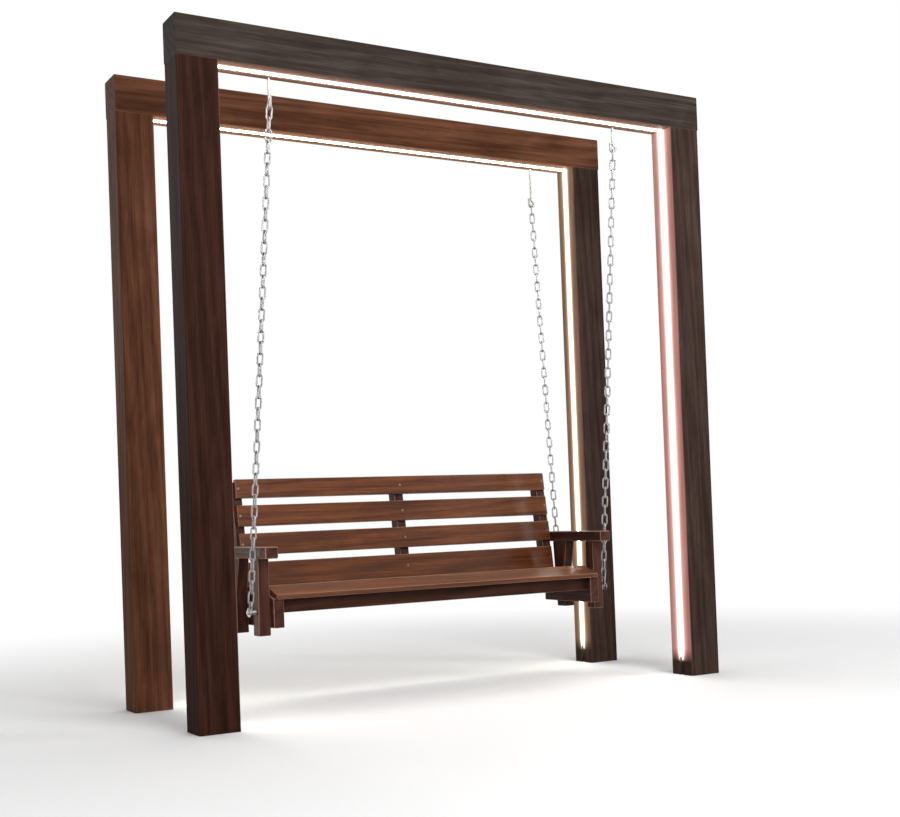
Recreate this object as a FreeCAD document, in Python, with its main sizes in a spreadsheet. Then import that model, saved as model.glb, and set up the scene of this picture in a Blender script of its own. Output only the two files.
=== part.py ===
import FreeCAD, Part
import math
import os
import re
import Sketcher

# Bench swing: two portal frames stand one behind the other, and four chains carry a slatted bench
# between them. X runs along the bench, -Y is its front, +Z is up. The origin is on the ground, at the
# centre of the footprint. Heights of the bench's own pieces count from the underside of its legs.

SIZES = (
    # portal frames
    ("frame_width", 2460),
    ("frame_height", 2600),
    ("frame_spacing", 728),
    ("post_width", 160),
    ("timber_depth", 135),
    ("beam_height", 153),
    ("timber_round", 8),
    ("dowel_diameter", 20),
    ("dowel_length", 140),
    ("dowel_spread", 80),
    ("dowel_play", 0.2),
    ("post_height", "=frame_height - beam_height"),
    ("post_x", "=(frame_width - post_width) / 2"),
    ("frame_y", "=frame_spacing / 2"),
    ("clear_width", "=frame_width - 2 * post_width"),
    ("side_room", 220),
    # lit lines
    ("groove_width", 20),
    ("groove_depth", 10),
    ("channel_play", 0.1),
    ("channel_wall", 1.5),
    ("led_foot", 85),
    ("tape_width", 12),
    ("tape_thickness", 1.2),
    ("cover_play", 0.15),
    ("cover_wall", 1.2),
    ("cover_leg", 6),
    ("cover_rise", 4.5),
    ("cover_half", "=groove_width / 2 - channel_play - channel_wall - cover_play"),
    ("cover_radius", "=(cover_half * cover_half + cover_rise * cover_rise) / (2 * cover_rise)"),
    ("cover_bore_half", "=cover_half - cover_wall"),
    ("cover_bore_rise", "=cover_rise - cover_wall"),
    ("cover_bore_radius", "=(cover_bore_half * cover_bore_half + cover_bore_rise * cover_bore_rise)"
                          " / (2 * cover_bore_rise)"),
    # bench, overall
    ("foot_height", 305),
    ("bench_width", "=clear_width - 2 * side_room"),
    ("bench_round", 4),
    ("slat_round", 3),
    ("joint_play", 0.2),
    ("bench_half", "=bench_width / 2"),
    # legs
    ("leg_thickness", 52),
    ("leg_height", 305),
    ("leg_taper", 6),
    ("front_leg_face", -100),
    ("front_leg_depth", 55),
    ("rear_foot_face", 124),
    ("rear_foot_depth", 64),
    ("rear_knee_height", 165),
    ("rear_knee_face", 130),
    ("rear_knee_depth", 69),
    ("rear_top_face", 100),
    ("rear_top_depth", 107),
    ("leg_inner", "=bench_half - leg_thickness"),
    # arm rests
    ("arm_width", 55),
    ("arm_height", 47),
    ("arm_front", -175),
    ("arm_rear_gap", 1),
    ("arm_setback", 7),
    ("arm_round", 6),
    ("arm_outer", "=bench_half - arm_setback"),
    ("arm_inner", "=arm_outer - arm_width"),
    ("arm_rear", "=back_face + slat_thickness / cos(back_lean)"
                 " + tan(back_lean) * (leg_height - back_foot) - arm_rear_gap"),
    # bearers and the line on which the seat slats lie
    ("bearer_thickness", 45),
    ("bearer_foot", 30),
    ("bearer_front", -133),
    ("kink_y", -43),
    ("kink_height", 174.4),
    ("front_slope", 17.7),
    ("seat_slope", 2.5),
    ("bearer_x", "=leg_inner - bearer_thickness / 2"),
    # slats
    ("slat_thickness", 20),
    ("slat_end_gap", 0.3),
    ("front_slat_width", 105),
    ("seat_slat_width", 71),
    ("seat_gap", 7),
    ("kink_gap", 3),
    ("back_face", 190),
    ("back_foot", 184),
    ("back_lean", 8),
    ("back_gap", 30.5),
    ("bottom_back_width", 100),
    ("lower_back_width", 91),
    ("upper_back_width", 89),
    ("top_back_width", 81),
    ("slat_length", "=2 * (arm_inner - slat_end_gap)"),
    # back uprights
    ("upright_depth", 55),
    ("upright_foot", 40),
    ("upright_top", 620),
    # rails
    ("front_rail_face", -105),
    ("front_rail_thickness", 22),
    ("front_rail_foot", 87),
    ("rear_rail_front", 223),
    ("rear_rail_depth", 60),
    ("rear_rail_foot", 65),
    ("rear_rail_height", 76),
    ("rear_rail_end_gap", 20),
    # chains
    ("link_wire", 7),
    ("link_pitch", 42),
    ("link_inner_width", 13.8),
    ("link_play", 0.3),
    ("link_side_play", 1.5),
    ("untwist_links", 8),
    ("chain_stand_off", 21),
    ("front_anchor_height", 95),
    ("rear_anchor_outset", 12),
    ("rear_anchor_setback", 24),
    ("rear_anchor_height", 85),
    ("open_pivot_play", 2.2),
    ("front_anchor_x", "=bench_half + chain_stand_off"),
    ("front_anchor_y", "=front_leg_face + front_leg_depth / 2"),
    ("front_anchor_z", "=foot_height + front_anchor_height"),
    ("rear_anchor_x", "=bench_half + rear_anchor_outset"),
    ("rear_anchor_y", "=rear_rail_front + rear_anchor_setback"),
    ("rear_anchor_z", "=foot_height + rear_anchor_height"),
    # hook bolts
    ("hook_setback", 40),
    ("front_hook_inset", 24),
    ("rear_hook_outset", 38),
    ("front_pivot_drop", 110),
    ("rear_pivot_drop", 190),
    ("hook_rod", 10),
    ("hook_bend", 11),
    ("hook_neck_bend", 20),
    ("hook_tip", 32),
    ("hook_turn", 33),
    ("hook_play", 0.5),
    ("hook_hole_play", 0.3),
    ("nut_pocket", 40),
    ("nut_pocket_depth", 25),
    ("hook_washer", 34),
    ("hook_washer_thickness", 3),
    ("hook_nut_flats", 17),
    ("hook_nut_height", 8),
    ("hook_rod_end", 4),
    ("front_hook_x", "=bench_half - front_hook_inset"),
    ("rear_hook_x", "=bench_half + rear_hook_outset"),
    ("front_hook_y", "=hook_setback - frame_y"),
    ("rear_hook_y", "=hook_setback + frame_y"),
    ("front_pivot_z", "=post_height - front_pivot_drop"),
    ("rear_pivot_z", "=post_height - rear_pivot_drop"),
    # bolts and screws of the bench
    ("bolt_diameter", 10),
    ("bolt_play", 0.3),
    ("bolt_head_flats", 17),
    ("bolt_head_height", 6.4),
    ("bolt_nut_height", 8),
    ("bolt_end", 3),
    ("large_washer", 38),
    ("small_washer", 21),
    ("washer_thickness", 3),
    ("spacer_diameter", 20),
    ("leg_bolt_y", 160),
    ("leg_bolt_height", 75),
    ("leg_bolt_rise", 45),
    ("pin_diameter", 12),
    ("pin_length", 50),
    ("screw_diameter", 5),
    ("screw_head", 10),
    ("screw_length", 45),
    ("recess_width", 1.2),
    ("recess_length", 5.4),
    ("recess_depth", 2),
    ("screw_play", 0.1),
    ("staple_wire", 12),
    ("staple_front_room", 6.5),
    ("staple_rear_room", 17),
    ("staple_grip", 40),
    ("staple_bend", 9),
    # length by which a cut runs past the piece
    ("overrun", 10),
)

X_AXIS = FreeCAD.Vector(1, 0, 0)
Y_AXIS = FreeCAD.Vector(0, 1, 0)
Z_AXIS = FreeCAD.Vector(0, 0, 1)
SIDES = (("left", -1), ("right", 1))

# How each side's hooks hold their chains. A left hook lies along the swing and the first link's own
# crown turns in its bend. A right hook lies across, turned a little, and passes through the first link.
# turn: the hook's plane about Z; rise: its bend's centre above the pivot; start: the first link's
# inner end below the pivot; quarters: quarter turns of the first link; twist: what it turns beyond them.
HANGERS = {
    "left": {"turn": "90", "rise": "hook_bend - hook_rod / 2 - link_wire / 2 - hook_play",
             "start": "link_wire / 2", "quarters": 1, "twist": "0"},
    "right": {"turn": "-1 * hook_turn", "rise": "hook_bend",
              "start": "-1 * (hook_rod / 2 + hook_play)", "quarters": 0, "twist": "hook_turn"},
}

doc = FreeCAD.newDocument("swing")
sheet = doc.addObject("Spreadsheet::Sheet", "sizes")
for row, (alias, amount) in enumerate(SIZES, 1):
    sheet.set(f"A{row}", alias)
    sheet.set(f"B{row}", str(amount))
    sheet.setAlias(f"B{row}", alias)
doc.recompute()

ALIASES = re.compile(r"\b(" + "|".join(alias for alias, amount in SIZES) + r")\b")
workings = doc.addObject("Spreadsheet::Sheet", "workings")
nodes = {}


# rules: text that works a length out of the sheet

def in_full(rule):
    return ALIASES.sub(r"sizes.\1", str(rule))


def value(rule):
    workings.set("A1", "=" + in_full(rule))
    workings.recompute()
    return float(workings.get("A1"))


def tie(item, place, rule):
    item.setExpression(place, in_full(rule))


def put(item, base, turn=None):
    """Place an object at three rules, turned about an axis by a rule in degrees."""
    axis, angle = turn or (X_AXIS, "0")
    spot = FreeCAD.Vector(*(value(rule) for rule in base))
    item.Placement = FreeCAD.Placement(spot, FreeCAD.Rotation(axis, value(angle)))
    for letter, rule in zip("xyz", base):
        tie(item, f"Placement.Base.{letter}", rule)


def keep(item, label):
    item.Label = label
    nodes[label] = item
    return item


# PartDesign helpers

def new_body(label):
    body = doc.addObject("PartDesign::Body", label)
    body.Label = label
    return body


def outline(body, name, role, points, arcs=None):
    """Closed outline through points on an origin plane; arcs gives an edge's middle point and radius."""
    arcs = arcs or {}
    sketch = body.newObject("Sketcher::SketchObject", name)
    plane = next(item for item in body.Origin.OriginFeatures if item.Role == role)
    sketch.AttachmentSupport = [(plane, "")]
    sketch.MapMode = "FlatFace"
    spots = [FreeCAD.Vector(value(across), value(up), 0) for across, up in points]
    ends = []
    for number, start in enumerate(spots):
        stop = spots[(number + 1) % len(spots)]
        if number in arcs:
            across, up, radius = arcs[number]
            middle = FreeCAD.Vector(value(across), value(up), 0)
            clockwise = (middle - start).cross(stop - middle).z < 0
            curve = Part.Arc(stop, middle, start) if clockwise else Part.Arc(start, middle, stop)
        else:
            curve = Part.LineSegment(start, stop)
        sketch.addGeometry(curve)
        first = sketch.Geometry[number].StartPoint
        forward = first.distanceToPoint(start) < first.distanceToPoint(stop)
        ends.append((1, 2) if forward else (2, 1))
    for number in range(len(spots)):
        after = (number + 1) % len(spots)
        sketch.addConstraint(
            Sketcher.Constraint("Coincident", number, ends[number][1], after, ends[after][0]))
    for number, (across, up) in enumerate(points):
        for kind, letter, rule in (("DistanceX", "across", across), ("DistanceY", "up", up)):
            index = sketch.addConstraint(
                Sketcher.Constraint(kind, -1, 1, number, ends[number][0], value(rule)))
            sketch.renameConstraint(index, f"{letter}{number}")
            tie(sketch, f"Constraints.{letter}{number}", rule)
    for number, (across, up, radius) in arcs.items():
        index = sketch.addConstraint(Sketcher.Constraint("Radius", number, value(radius)))
        sketch.renameConstraint(index, f"radius{number}")
        tie(sketch, f"Constraints.radius{number}", radius)
    return sketch


def box_points(left, bottom, right, top):
    return [(left, bottom), (right, bottom), (right, top), (left, top)]


def pad(body, sketch, length):
    feature = body.newObject("PartDesign::Pad", sketch.Name + "_pad")
    feature.Profile = sketch
    feature.SideType = "Symmetric"
    tie(feature, "Length", length)
    doc.recompute()
    return feature


def pocket(body, sketch, length, symmetric=True, towards_normal=False):
    before = body.Shape.Volume
    feature = body.newObject("PartDesign::Pocket", sketch.Name + "_cut")
    feature.Profile = sketch
    feature.SideType = "Symmetric" if symmetric else "One side"
    feature.Reversed = towards_normal
    tie(feature, "Length", length)
    doc.recompute()
    if not body.Shape.Volume < before:
        raise RuntimeError(f"{sketch.Name} cuts nothing")
    return feature


def round_edges(body, feature, radius, axes=None):
    """Round every edge, or only the straight edges along the given axes."""
    rounding = body.newObject("PartDesign::Fillet", feature.Name + "_round")
    if axes:
        rounding.Base = (feature, edges_along(feature.Shape, axes))
    else:
        rounding.Base = (feature, [])
        rounding.UseAllEdges = True
    tie(rounding, "Radius", radius)
    doc.recompute()
    return rounding


def edges_along(shape, axes):
    names = []
    for number, edge in enumerate(shape.Edges, 1):
        run = edge.Vertexes[-1].Point - edge.Vertexes[0].Point
        run.normalize()
        if any(abs(run.dot(axis)) > math.cos(math.radians(1)) for axis in axes):
            names.append(f"Edge{number}")
    return names


def prism(label, role, points, length, radius=None, axes=None):
    body = new_body(label)
    feature = pad(body, outline(body, label + "_outline", role, points), length)
    if radius:
        round_edges(body, feature, radius, axes)
    return body


# Part helpers

def rod(name, radius, length, base, axis):
    """Cylinder that starts at base and runs along an axis."""
    turns = {"x": (Y_AXIS, 90), "y": (X_AXIS, -90), "z": (X_AXIS, 0)}
    item = doc.addObject("Part::Cylinder", name)
    tie(item, "Radius", radius)
    tie(item, "Height", length)
    put(item, base, turns[axis])
    return item


def hexagon(name, flats, length, base, axis):
    turns = {"x": (Y_AXIS, 90), "z": (X_AXIS, 0)}
    item = doc.addObject("Part::Prism", name)
    item.Polygon = 6
    tie(item, "Circumradius", f"({flats}) / 2 / cos(30)")
    tie(item, "Height", length)
    put(item, base, turns[axis])
    return item


def cut(name, base, tool):
    item = doc.addObject("Part::Cut", name)
    item.Base = base
    item.Tool = tool
    return item


def fuse(name, items):
    item = doc.addObject("Part::MultiFuse", name)
    item.Shapes = items
    return item


def group(name, items):
    item = doc.addObject("Part::Compound", name)
    item.Links = items
    return item


def drilled(label, blank, holes):
    """A node made by cutting holes out of its blank."""
    return keep(cut(label, blank, holes), label)


def shape_node(label, shape):
    item = doc.addObject("Part::Feature", label)
    item.Shape = shape
    return keep(item, label)


# portal frames

def dowel_spots():
    for frame in (-1, 1):
        for side in (-1, 1):
            for share in (-1, 1):
                yield f"{side} * post_x + {share} * dowel_spread / 2", f"{frame} * frame_y"


def make_dowels(name, radius, length):
    rods = []
    for number, (across, along) in enumerate(dowel_spots(), 1):
        base = (across, along, f"post_height - ({length}) / 2")
        rods.append(rod(f"{name}_{number}", radius, length, base, "z"))
    return group(name, rods)


def hook_spots(frame):
    for side, hand in SIDES:
        yield side, f"{hand} * {frame}_hook_x", f"{frame}_hook_y"


def hook_holes():
    holes = []
    for frame in ("front", "rear"):
        for side, across, along in hook_spots(frame):
            name = f"{frame}_{side}_hook_hole"
            bore = rod(name + "_bore", "hook_rod / 2 + hook_hole_play", "beam_height + 2 * overrun",
                       (across, along, "post_height - overrun"), "z")
            room = rod(name + "_room", "nut_pocket / 2", "nut_pocket_depth + overrun",
                       (across, along, "frame_height - nut_pocket_depth"), "z")
            holes.append(fuse(name, [bore, room]))
    return group("hook_holes", holes)


def make_beam(frame, sign, holes):
    points = box_points("-1 * timber_depth / 2", "0", "timber_depth / 2", "beam_height")
    body = prism(f"{frame}_beam_blank", "YZ_Plane", points, "frame_width", "timber_round", (X_AXIS,))
    groove = box_points("-1 * groove_width / 2", "-1 * overrun", "groove_width / 2", "groove_depth")
    pocket(body, outline(body, f"{frame}_beam_groove", "YZ_Plane", groove), "clear_width")
    put(body, ("0", f"{sign} * frame_y", "post_height"))
    drilled(f"{frame}_beam", body, holes)


def make_post(frame, sign, side, hand, holes):
    points = box_points("-1 * post_width / 2", "-1 * timber_depth / 2",
                        "post_width / 2", "timber_depth / 2")
    name = f"{frame}_{side}_post"
    body = prism(name + "_blank", "XY_Plane", points, "post_height", "timber_round", (Z_AXIS,))
    inner = f"{-hand} * (post_width / 2"
    groove = box_points(inner + " - groove_depth)", "-1 * groove_width / 2",
                        inner + " + overrun)", "groove_width / 2")
    pocket(body, outline(body, name + "_groove", "XY_Plane", groove), "post_height + 2 * overrun")
    put(body, (f"{hand} * post_x", f"{sign} * frame_y", "post_height / 2"))
    drilled(name, body, holes)


def make_frames():
    dowel_holes = make_dowels("dowel_holes", "dowel_diameter / 2 + dowel_play",
                              "dowel_length + 2 * dowel_play")
    beam_holes = group("beam_holes", [dowel_holes, hook_holes()])
    for frame, sign in (("front", -1), ("rear", 1)):
        make_beam(frame, sign, beam_holes)
        for side, hand in SIDES:
            make_post(frame, sign, side, hand, dowel_holes)
    keep(make_dowels("beam_dowels", "dowel_diameter / 2", "dowel_length"), "beam_dowels")


# lit lines: a channel in each groove, a tape on its floor and an opal cover clipped into its mouth

def led_profiles():
    """Outlines as (across the groove, out of the groove from its floor) and the covers' arcs."""
    half = "(groove_width / 2 - channel_play)"
    bore = f"({half} - channel_wall)"
    channel = [("-1 * " + half, "0"), (half, "0"), (half, "groove_depth"), (bore, "groove_depth"),
               (bore, "channel_wall"), ("-1 * " + bore, "channel_wall"),
               ("-1 * " + bore, "groove_depth"), ("-1 * " + half, "groove_depth")]
    tape = box_points("-1 * tape_width / 2", "channel_wall",
                      "tape_width / 2", "channel_wall + tape_thickness")
    seat = "groove_depth - cover_leg"
    cover = [("-1 * cover_half", seat), ("-1 * cover_half", "groove_depth"),
             ("cover_half", "groove_depth"), ("cover_half", seat), ("cover_bore_half", seat),
             ("cover_bore_half", "groove_depth"), ("-1 * cover_bore_half", "groove_depth"),
             ("-1 * cover_bore_half", seat)]
    arcs = {1: ("0", "groove_depth + cover_rise", "cover_radius"),
            5: ("0", "groove_depth + cover_bore_rise", "cover_bore_radius")}
    return {"channel": (channel, {}), "tape": (tape, {}), "cover": (cover, arcs)}


def led_strip(name, profile, role, spot, length, base):
    points, arcs = profile
    body = new_body(name)
    points = [spot(across, out) for across, out in points]
    arcs = {number: (*spot(across, out), radius) for number, (across, out, radius) in arcs.items()}
    pad(body, outline(body, name + "_outline", role, points, arcs), length)
    put(body, base)
    return body


def make_led_lines():
    profiles = led_profiles()
    tapes = []
    for frame, sign in (("front", -1), ("rear", 1)):
        runs = [(f"{frame}_beam", "YZ_Plane", lambda across, out: (across, f"-1 * ({out})"),
                 ("0", f"{sign} * frame_y", "post_height + groove_depth"), "clear_width")]
        for side, hand in SIDES:
            runs.append((f"{frame}_{side}", "XY_Plane",
                         lambda across, out, hand=hand: (f"{-hand} * ({out})", across),
                         (f"{hand} * (clear_width / 2 + groove_depth)", f"{sign} * frame_y",
                          "(post_height + led_foot) / 2"), "post_height - led_foot"))
        for name, role, spot, base, length in runs:
            short = f"{length} - 2 * (cover_rise + joint_play)" if role == "YZ_Plane" else length
            channel = led_strip(name + "_led_channel", profiles["channel"], role, spot, length, base)
            cover = led_strip(name + "_led_cover", profiles["cover"], role, spot, short, base)
            keep(channel, name + "_led_channel")
            keep(cover, name + "_led_cover")
            tapes.append(led_strip(name + "_led_tape", profiles["tape"], role, spot, short, base))
    keep(group("led_tapes", tapes), "led_tapes")


# hook bolts: a bar through the beam, a nut on a washer above it and an open hook below it

def hook_bar(top, centre):
    """Round bar in the XZ plane: a shank on the Z axis, a neck and a hook bent round centre."""
    bend = value("hook_bend")
    neck = value("hook_neck_bend")
    angle = math.acos(1 - bend / (2 * neck))
    neck_top = centre + 2 * neck * math.sin(angle)
    mid_out = neck * (1 - math.cos(angle / 2))
    mid_drop = neck * math.sin(angle / 2)

    def spot(out, up):
        return FreeCAD.Vector(out, 0, up)

    neck_middle = spot(bend / 2, (neck_top + centre) / 2)
    path = Part.Wire([
        Part.LineSegment(spot(0, top), spot(0, neck_top)).toShape(),
        Part.Arc(spot(0, neck_top), spot(mid_out, neck_top - mid_drop), neck_middle).toShape(),
        Part.Arc(neck_middle, spot(bend - mid_out, centre + mid_drop), spot(bend, centre)).toShape(),
        Part.Arc(spot(bend, centre), spot(0, centre - bend), spot(-bend, centre)).toShape(),
        Part.LineSegment(spot(-bend, centre), spot(-bend, centre + value("hook_tip"))).toShape()])
    section = Part.Wire(Part.Circle(spot(0, top), Z_AXIS, value("hook_rod") / 2).toShape())
    return path.makePipeShell([section], True, False)


def make_hook_bolts():
    washers = []
    nuts = []
    seat = "(frame_height - nut_pocket_depth)"
    nut_foot = f"({seat} + hook_washer_thickness)"
    top = value(f"{nut_foot} + hook_nut_height + hook_rod_end")
    for frame in ("front", "rear"):
        bars = []
        for side, across, along in hook_spots(frame):
            bar = hook_bar(top, value(f"{frame}_pivot_z + {HANGERS[side]['rise']}"))
            bar.rotate(FreeCAD.Vector(), Z_AXIS, value(HANGERS[side]["turn"]))
            bar.translate(FreeCAD.Vector(value(across), value(along), 0))
            bars.append(bar)
            washers.append(ring_piece(f"{frame}_{side}_hook_washer", "hook_washer / 2",
                                      "hook_rod / 2 + hook_hole_play", "hook_washer_thickness",
                                      (across, along, seat), "z"))
            nuts.append(nut_piece(f"{frame}_{side}_hook_nut", "hook_nut_flats", "hook_rod / 2",
                                  "hook_nut_height", (across, along, nut_foot), "z"))
        shape_node(f"{frame}_hook_bolts", Part.makeCompound(bars))
    keep(group("hook_washers", washers), "hook_washers")
    keep(group("hook_nuts", nuts), "hook_nuts")


def ring_piece(name, outer, inner, length, base, axis):
    disc = rod(name + "_disc", outer, length, base, axis)
    bore = rod(name + "_bore", inner, length, base, axis)
    return cut(name, disc, bore)


def nut_piece(name, flats, bore, length, base, axis):
    block = hexagon(name + "_block", flats, length, base, axis)
    hole = rod(name + "_hole", bore, length, base, axis)
    return cut(name, block, hole)


# bench frame. Rules for the lines that several pieces share:

def seat_line(along):
    """Height at which the seat slats lie, at a place behind the kink."""
    return f"(kink_height - tan(seat_slope) * (({along}) - kink_y))"


def front_line(along):
    """The same ahead of the kink, under the sloping front slat."""
    return f"(kink_height - tan(front_slope) * (kink_y - ({along})))"


def back_line(height, offset="0"):
    """Place of the leaning back's face at a height, set back square to it by an offset."""
    return f"(back_face + ({offset}) / cos(back_lean) + tan(back_lean) * (({height}) - back_foot))"


def upright_points(bottom, top):
    rear = "slat_thickness + upright_depth"
    return [(back_line(bottom, "slat_thickness"), bottom), (back_line(bottom, rear), bottom),
            (back_line(top, rear), top), (back_line(top, "slat_thickness"), top)]


def leg_taper_cut(body, name, hand):
    """Shave the outer face, so that the leg grows thinner towards the arm rest."""
    outer = f"{hand} * (leg_thickness / 2"
    top = "(leg_height + overrun)"
    wedge = [(outer + ")", "0"), (outer + " + overrun)", "0"), (outer + " + overrun)", top),
             (f"{outer} - leg_taper * {top} / leg_height)", top)]
    return pocket(body, outline(body, name + "_taper", "XZ_Plane", wedge),
                  "2 * (rear_top_face + rear_top_depth + overrun)")


def make_legs(holes):
    front = box_points("front_leg_face", "0", "front_leg_face + front_leg_depth", "leg_height")
    rear = [("rear_foot_face", "0"), ("rear_foot_face + rear_foot_depth", "0"),
            ("rear_knee_face + rear_knee_depth", "rear_knee_height"),
            ("rear_top_face + rear_top_depth", "leg_height"), ("rear_top_face", "leg_height"),
            ("rear_knee_face", "rear_knee_height")]
    for end, points in (("front", front), ("rear", rear)):
        for side, hand in SIDES:
            name = f"{end}_{side}_leg"
            body = prism(name + "_blank", "YZ_Plane", points, "leg_thickness")
            round_edges(body, leg_taper_cut(body, name, hand), "bench_round")
            put(body, (f"{hand} * (bench_half - leg_thickness / 2)", "0", "foot_height"))
            drilled(name, body, holes)


def make_arms(holes):
    points = box_points("arm_front", "0", "arm_rear", "arm_height")
    for side, hand in SIDES:
        body = prism(f"{side}_arm_blank", "YZ_Plane", points, "arm_width", "arm_round")
        put(body, (f"{hand} * (arm_outer - arm_width / 2)", "0", "foot_height + leg_height"))
        drilled(f"{side}_arm", body, holes)


def bearer_stations():
    """Name, place, bearer's front end, bearer's underside and upright's foot."""
    return (("left", "-1 * bearer_x", "bearer_front", "bearer_foot", "upright_foot"),
            ("middle", "0", "front_rail_face + front_rail_thickness", "front_rail_foot",
             "rear_rail_foot"),
            ("right", "bearer_x", "bearer_front", "bearer_foot", "upright_foot"))


def make_bearers(holes):
    """Bearers under the seat; each loses half its thickness where a back upright crosses it."""
    for name, across, front, foot, upright_foot in bearer_stations():
        points = [(front, foot), ("rear_rail_front", foot),
                  ("rear_rail_front", seat_line("rear_rail_front")), ("kink_y", "kink_height"),
                  (front, front_line(front))]
        body = prism(f"{name}_bearer_blank", "YZ_Plane", points, "bearer_thickness", "bench_round")
        lap = upright_points(f"{foot} - overrun", "kink_height + overrun")
        pocket(body, outline(body, f"{name}_bearer_lap", "YZ_Plane", lap),
               "bearer_thickness / 2 + overrun", False, True)
        put(body, (across, "0", "foot_height"))
        drilled(f"{name}_bearer", body, holes)


def make_uprights(holes):
    """Back uprights, each cut back to half its thickness where it crosses its bearer."""
    near = back_line("bearer_foot", "slat_thickness - overrun")
    far = back_line("kink_height", "slat_thickness + upright_depth + overrun")
    for name, across, front, bearer_underside, foot in bearer_stations():
        lap = [(near, bearer_underside), (far, bearer_underside),
               (far, seat_line(far)), (near, seat_line(near))]
        points = upright_points(foot, "upright_top")
        body = prism(f"{name}_upright_blank", "YZ_Plane", points, "bearer_thickness", "bench_round")
        pocket(body, outline(body, f"{name}_upright_lap", "YZ_Plane", lap),
               "bearer_thickness / 2 + overrun", False, False)
        put(body, (across, "0", "foot_height"))
        drilled(f"{name}_back_upright", body, holes)


def make_rails(front_holes, rear_holes):
    rear = "front_rail_face + front_rail_thickness"
    points = [("front_rail_face", "front_rail_foot"), (rear, "front_rail_foot"),
              (rear, front_line(rear)), ("front_rail_face", front_line("front_rail_face"))]
    body = prism("front_rail_blank", "YZ_Plane", points, "2 * bearer_x - bearer_thickness",
                 "slat_round", (X_AXIS,))
    put(body, ("0", "0", "foot_height"))
    drilled("front_rail", body, front_holes)
    top = "rear_rail_foot + rear_rail_height"
    points = box_points("rear_rail_front", "rear_rail_foot",
                        "rear_rail_front + rear_rail_depth", top)
    body = prism("rear_rail_blank", "YZ_Plane", points, "2 * (rear_anchor_x - rear_rail_end_gap)",
                 "bench_round")
    put(body, ("0", "0", "foot_height"))
    housings = []
    for name, across, front, bearer_underside, foot in bearer_stations():
        housing = prism(f"{name}_housing", "YZ_Plane",
                        upright_points("rear_rail_foot - overrun", f"{top} + overrun"),
                        "bearer_thickness + 2 * joint_play")
        put(housing, (across, "0", "foot_height"))
        housings.append(housing)
    notched = cut("rear_rail_notched", body, group("rear_rail_housings", housings))
    drilled("rear_rail", notched, rear_holes)


# slats

def slat_body(label, depth, height, base, angle):
    points = box_points("0", "0", depth, height)
    body = prism(label + "_blank", "YZ_Plane", points, "slat_length", "slat_round")
    put(body, base, (X_AXIS, angle))
    return body


def seat_slat_starts():
    """Each seat slat's name, width, distance of its front edge behind the kink, and slope."""
    yield "front_seat_slat", "front_slat_width", "-1 * (front_slat_width + kink_gap / 2)", "front_slope"
    for number, word in enumerate(("second", "third", "rear")):
        start = f"(kink_gap / 2 + {number} * (seat_slat_width + seat_gap))"
        yield f"{word}_seat_slat", "seat_slat_width", start, "-1 * seat_slope"


def back_slat_starts():
    """Each back slat's name, width and the distance of its lower edge up the lean."""
    start = "0"
    for word in ("bottom", "lower", "upper", "top"):
        width = f"{word}_back_width"
        yield f"{word}_back_slat", width, f"({start})"
        start = f"{start} + {width} + back_gap"


def make_slats(holes):
    for name, width, start, slope in seat_slat_starts():
        base = ("0", f"kink_y + cos({slope}) * {start}",
                f"foot_height + kink_height + sin({slope}) * {start}")
        drilled(name, slat_body(name, width, "slat_thickness", base, slope), holes)
    for name, width, start in back_slat_starts():
        base = ("0", f"back_face + sin(back_lean) * {start}",
                f"foot_height + back_foot + cos(back_lean) * {start}")
        body = slat_body(name, "slat_thickness", width, base, "-1 * back_lean")
        drilled(name, body, holes)


# screws: one through each slat into each bearer or upright

def screw_shape(play):
    """Countersunk screw along -Z with its head's face at the origin."""
    head = value("screw_head") / 2 + play
    shank = value("screw_diameter") / 2 + play
    length = value("screw_length") + play
    points = [(0, 0), (head, 0), (shank, shank - head), (shank, -length), (0, -length)]
    corners = [FreeCAD.Vector(across, 0, up) for across, up in points]
    return Part.Face(Part.makePolygon(corners + corners[:1])).revolve(
        FreeCAD.Vector(), Z_AXIS, 360)


def recessed_screw():
    """The screw itself, with a cross recess in its head."""
    screw = screw_shape(0)
    depth = value("recess_depth")
    for turn in (0, 90):
        wing = Part.makeBox(value("recess_length"), value("recess_width"), depth)
        wing.translate(FreeCAD.Vector(-value("recess_length") / 2, -value("recess_width") / 2, -depth))
        wing.rotate(FreeCAD.Vector(), Z_AXIS, turn)
        screw = screw.cut(wing)
    return screw


def screw_places():
    """Placements that turn a screw square to its slat, with the head's face flush."""
    stations = [value(station[1]) for station in bearer_stations()]
    foot = value("foot_height")
    for name, width, start, slope in seat_slat_starts():
        along = value(f"{start} + {width} / 2")
        turn = FreeCAD.Rotation(X_AXIS, value(slope))
        shift = turn.multVec(FreeCAD.Vector(0, along, value("slat_thickness")))
        base = FreeCAD.Vector(0, value("kink_y"), foot + value("kink_height")) + shift
        for across in stations:
            yield FreeCAD.Placement(base + FreeCAD.Vector(across, 0, 0), turn)
    lean = FreeCAD.Rotation(X_AXIS, -value("back_lean"))
    for name, width, start in back_slat_starts():
        shift = lean.multVec(FreeCAD.Vector(0, 0, value(f"{start} + {width} / 2")))
        base = FreeCAD.Vector(0, value("back_face"), foot + value("back_foot")) + shift
        turn = lean.multiply(FreeCAD.Rotation(X_AXIS, 90))
        for across in stations:
            yield FreeCAD.Placement(base + FreeCAD.Vector(across, 0, 0), turn)


def screws(model):
    copies = []
    for place in screw_places():
        copy = model.copy()
        copy.Placement = place
        copies.append(copy)
    return Part.makeCompound(copies)


# bolts that carry the front chains, bolts of the rear legs, and wooden pins

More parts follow.
